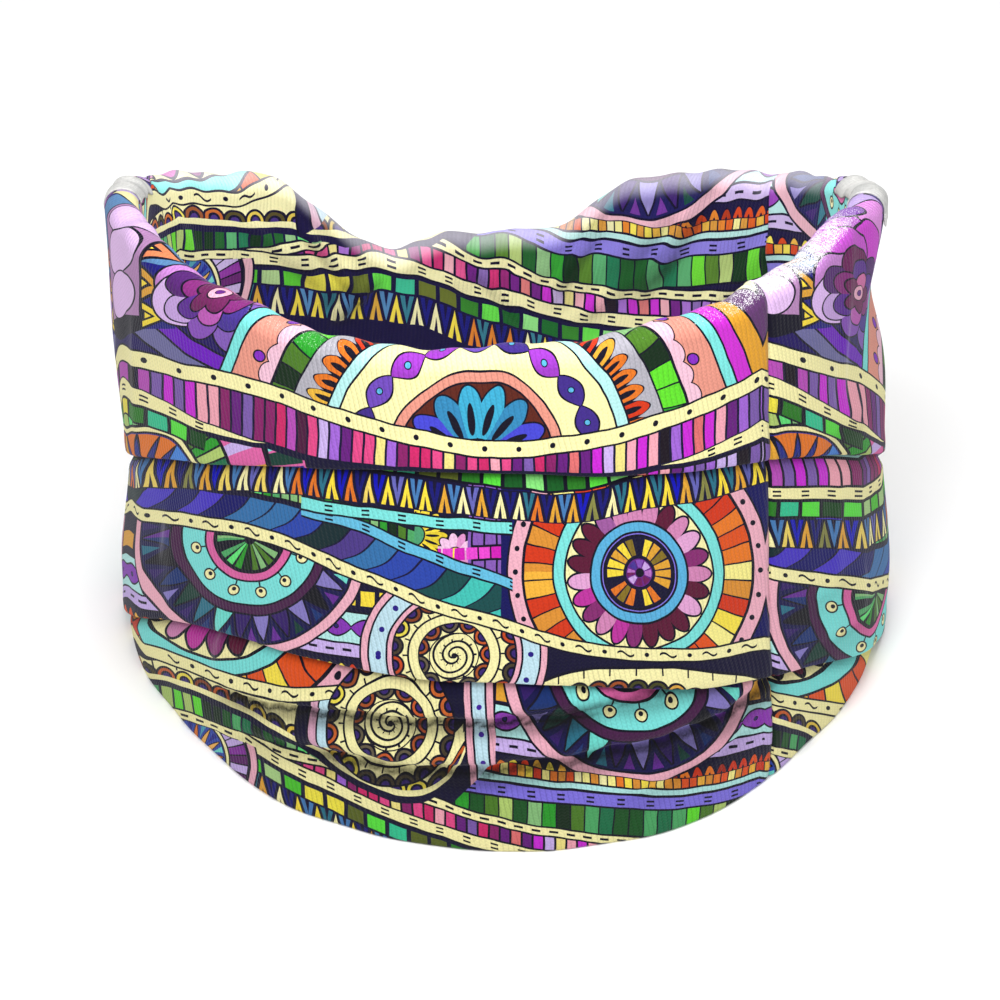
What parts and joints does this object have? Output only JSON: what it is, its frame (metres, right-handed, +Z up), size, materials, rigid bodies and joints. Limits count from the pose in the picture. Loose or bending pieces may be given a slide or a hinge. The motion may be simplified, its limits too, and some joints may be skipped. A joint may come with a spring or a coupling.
{
  "type": "neck gaiter",
  "caption": "Pleated double-layer neck gaiter: printed knit tiers that overlap like shingles and draw out upward, a two-sleeve lining, a rolled elastic rim and a low gathered back.",
  "frame": {"origin": "on the floor at hem level, in the middle of the footprint, side to side and front to back", "axes": "+Z up out of the neck opening, -Y to the wearer's front (the high side), +X to the wearer's left hand seen from the front, the side panel's side"},
  "size_m": [0.2046, 0.1704, 0.1382],
  "materials": {
    "upper_print_knit": "printed stretch knit, matt with a soft sheen",
    "middle_print_knit": "printed stretch knit, matt with a soft sheen",
    "lower_print_knit": "printed stretch knit, matt with a soft sheen",
    "lining_print_knit": "printed stretch knit, inner face, matt",
    "plain_lining_knit": "unprinted stretch knit, matt",
    "facing_knit": "unprinted brushed knit, matt",
    "elastic": "covered elastic, matt",
    "seam_allowance": "overlocked knit edge, matt",
    "thread": "polyester thread, slight sheen"
  },
  "bodies": {
    "base": {"lower_main_panel": "lower_print_knit", "lower_side_panel": "lower_print_knit", "lower_seam_tape": "seam_allowance", "lower_seam_thread": "thread", "lower_lining": "plain_lining_knit", "hem_elastic": "elastic"},
    "middle": {"middle_main_panel": "middle_print_knit", "middle_side_panel": "middle_print_knit", "middle_seam_tape": "seam_allowance", "middle_seam_thread": "thread"},
    "upper": {"upper_main_panel": "upper_print_knit", "upper_side_panel": "upper_print_knit", "upper_lining_main": "lining_print_knit", "upper_lining_side": "lining_print_knit", "rim_elastic": "elastic", "back_gather_elastic": "elastic", "left_rim_facing": "facing_knit", "right_rim_facing": "facing_knit", "upper_seam_tape": "seam_allowance", "upper_seam_thread": "thread"}
  },
  "joints": [
    {"name": "lower_pleat", "type": "slide", "parent": "base", "child": "middle", "axis": [0, 0, 1], "range_m": [0, 0.012]},
    {"name": "upper_pleat", "type": "slide", "parent": "middle", "child": "upper", "axis": [0, 0, 1], "range_m": [0, 0.015]}
  ]
}
